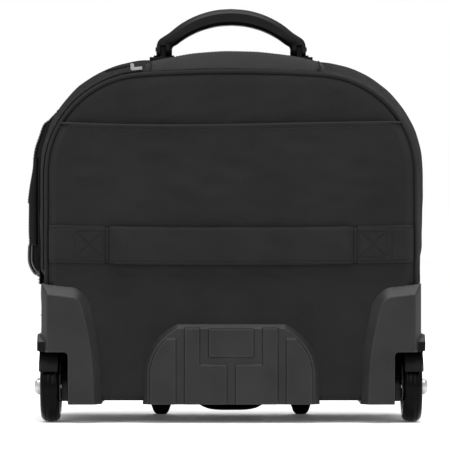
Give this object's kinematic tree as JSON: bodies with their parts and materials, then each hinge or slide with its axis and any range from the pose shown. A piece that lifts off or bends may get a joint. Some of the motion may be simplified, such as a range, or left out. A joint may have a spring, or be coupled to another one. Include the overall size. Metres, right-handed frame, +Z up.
{
  "type": "rolling laptop case",
  "caption": "Soft rounded-top wheeled case for a laptop, with telescopic trolley handle, carry handles, moulded corner guards, kick plate and feet.",
  "frame": {"origin": "on the floor, in the middle of the whole outline seen from above", "axes": "+Z up; the back with wheels and kick plate faces -Y, the lid faces +Y; X is across the width and the side handle is at -X"},
  "size_m": [0.4579, 0.2513, 0.47],
  "materials": {
    "bag_fabric": "fine woven ballistic nylon, matt",
    "lining": "plain woven lining over board",
    "webbing": "woven webbing with stitched edges",
    "piping": "corded binding, slight sheen",
    "zip_tape": "ribbed coil zip tape",
    "guard_plastic": "dark grey fine-grained moulding",
    "board": "stiff sheet covered in cloth",
    "black_plastic": "satin black moulding",
    "hub_plastic": "light grey satin moulding",
    "tube_aluminium": "dark anodised, drawn",
    "steel": "zinc plated",
    "zip_metal": "polished cast zinc",
    "puller_cord": "moulded over cord",
    "handle_rubber": "smooth satin moulding",
    "foot_rubber": "moulded, slightly worn",
    "tyre": "glossy dark polyurethane"
  },
  "bodies": {
    "case": {"back_panel": "bag_fabric", "back_slip_pocket": "bag_fabric", "back_strap": "webbing", "rear_piping": "piping", "main_gusset": "bag_fabric", "base_board": "board", "front_sill": "bag_fabric", "trolley_cover_panel": "lining", "laptop_sleeve": "lining", "file_divider": "lining", "handle_hood": "bag_fabric", "hood_zip_tapes": "zip_tape", "rear_zip_tape": "zip_tape", "main_zip_tape": "zip_tape", "kick_plate": "guard_plastic", "corner_guard_left": "guard_plastic", "corner_guard_right": "guard_plastic", "axle_left": "steel", "axle_right": "steel", "axle_nuts": "steel", "base_screws": "steel", "foot_left": "foot_rubber", "foot_right": "foot_rubber", "bottom_grab_handle": "black_plastic", "trolley_outer_tube_left": "tube_aluminium", "trolley_outer_tube_right": "tube_aluminium", "trolley_top_bezel": "black_plastic", "trolley_bottom_bracket": "black_plastic", "carry_handle_brackets": "black_plastic", "carry_handle_pins": "steel", "side_handle_anchors": "webbing"},
    "wheel_left": {"tyre_left": "tyre", "wheel_hub_left": "hub_plastic", "wheel_bearings_left": "steel"},
    "wheel_right": {"tyre_right": "tyre", "wheel_hub_right": "hub_plastic", "wheel_bearings_right": "steel"},
    "trolley_lower_stage": {"trolley_middle_tube_left": "tube_aluminium", "trolley_middle_tube_right": "tube_aluminium", "trolley_middle_collars": "black_plastic"},
    "trolley_upper_stage": {"trolley_inner_tube_left": "tube_aluminium", "trolley_inner_tube_right": "tube_aluminium", "trolley_grip": "black_plastic", "trolley_tube_plugs": "black_plastic"},
    "button": {"release_button": "black_plastic", "push_rod_yoke": "black_plastic"},
    "pins": {"lock_pins": "steel"},
    "carry_handle": {"carry_handle": "handle_rubber"},
    "side_handle": {"side_handle_grip": "webbing"},
    "lid": {"front_lid": "bag_fabric", "front_pocket": "bag_fabric", "lid_zip_tape": "zip_tape"},
    "rear_slider": {"rear_zip_slider": "zip_metal"},
    "rear_puller": {"rear_zip_puller": "puller_cord"},
    "main_slider": {"main_zip_slider": "zip_metal"},
    "main_puller": {"main_zip_puller": "puller_cord"},
    "pocket_slider": {"pocket_zip_slider": "zip_metal"},
    "pocket_puller": {"pocket_zip_puller": "puller_cord"}
  },
  "joints": [
    {"name": "wheel_left_spin", "type": "hinge", "parent": "case", "child": "wheel_left", "pos_m": [-0.1973, -0.082, 0.04], "axis": [1, 0, 0], "continuous": true},
    {"name": "wheel_right_spin", "type": "hinge", "parent": "case", "child": "wheel_right", "pos_m": [0.2107, -0.082, 0.04], "axis": [1, 0, 0], "continuous": true},
    {"name": "trolley_lower_rise", "type": "slide", "parent": "case", "child": "trolley_lower_stage", "axis": [0, 0, 1], "range_m": [0, 0.29]},
    {"name": "trolley_upper_rise", "type": "slide", "parent": "trolley_lower_stage", "child": "trolley_upper_stage", "axis": [0, 0, 1], "range_m": [0, 0.29]},
    {"name": "release_button_press", "type": "slide", "parent": "trolley_upper_stage", "child": "button", "axis": [0, 0, -1], "range_m": [0, 0.0035], "stiffness_N_per_m": 900, "springref_m": -0.002},
    {"name": "lock_pins_retract", "type": "slide", "parent": "trolley_upper_stage", "child": "pins", "axis": [0, -1, 0], "range_m": [0, 0.0024]},
    {"name": "carry_handle_tilt", "type": "hinge", "parent": "case", "child": "carry_handle", "pos_m": [0.0067, -0.045, 0.424], "axis": [-1, 0, 0], "range_deg": [-10, 35], "stiffness_Nm_per_rad": 1.2},
    {"name": "side_handle_lift", "type": "slide", "parent": "case", "child": "side_handle", "axis": [-1, 0, 0], "range_m": [0, 0.012], "stiffness_N_per_m": 300},
    {"name": "lid_open", "type": "hinge", "parent": "case", "child": "lid", "pos_m": [0.0067, 0.1085, 0.0613], "axis": [-1, 0, 0], "range_deg": [0, 90]},
    {"name": "rear_zip_run", "type": "hinge", "parent": "case", "child": "rear_slider", "pos_m": [-0.0893, -0.093, 0.2804], "axis": [0, -1, 0], "range_deg": [0, 80]},
    {"name": "rear_puller_swing", "type": "hinge", "parent": "rear_slider", "child": "rear_puller", "pos_m": [-0.10508, -0.093, 0.40336], "axis": [0, 1, 0], "range_deg": [0, 90]},
    {"name": "main_zip_run", "type": "slide", "parent": "case", "child": "main_slider", "axis": [0, 0, 1], "range_m": [0, 0.15]},
    {"name": "main_puller_swing", "type": "hinge", "parent": "main_slider", "child": "main_puller", "pos_m": [-0.2172, 0.0917, 0.117], "axis": [0, 1, 0], "range_deg": [0, 90]},
    {"name": "pocket_zip_run", "type": "slide", "parent": "lid", "child": "pocket_slider", "axis": [-1, 0, 0], "range_m": [0, 0.25]},
    {"name": "pocket_puller_swing", "type": "hinge", "parent": "pocket_slider", "child": "pocket_puller", "pos_m": [0.1267, 0.1255, 0.227], "axis": [1, 0, 0], "range_deg": [0, 90]}
  ],
  "couplings": [
    {"joint": "lock_pins_retract", "follows": "release_button_press", "ratio": 0.6857}
  ]
}
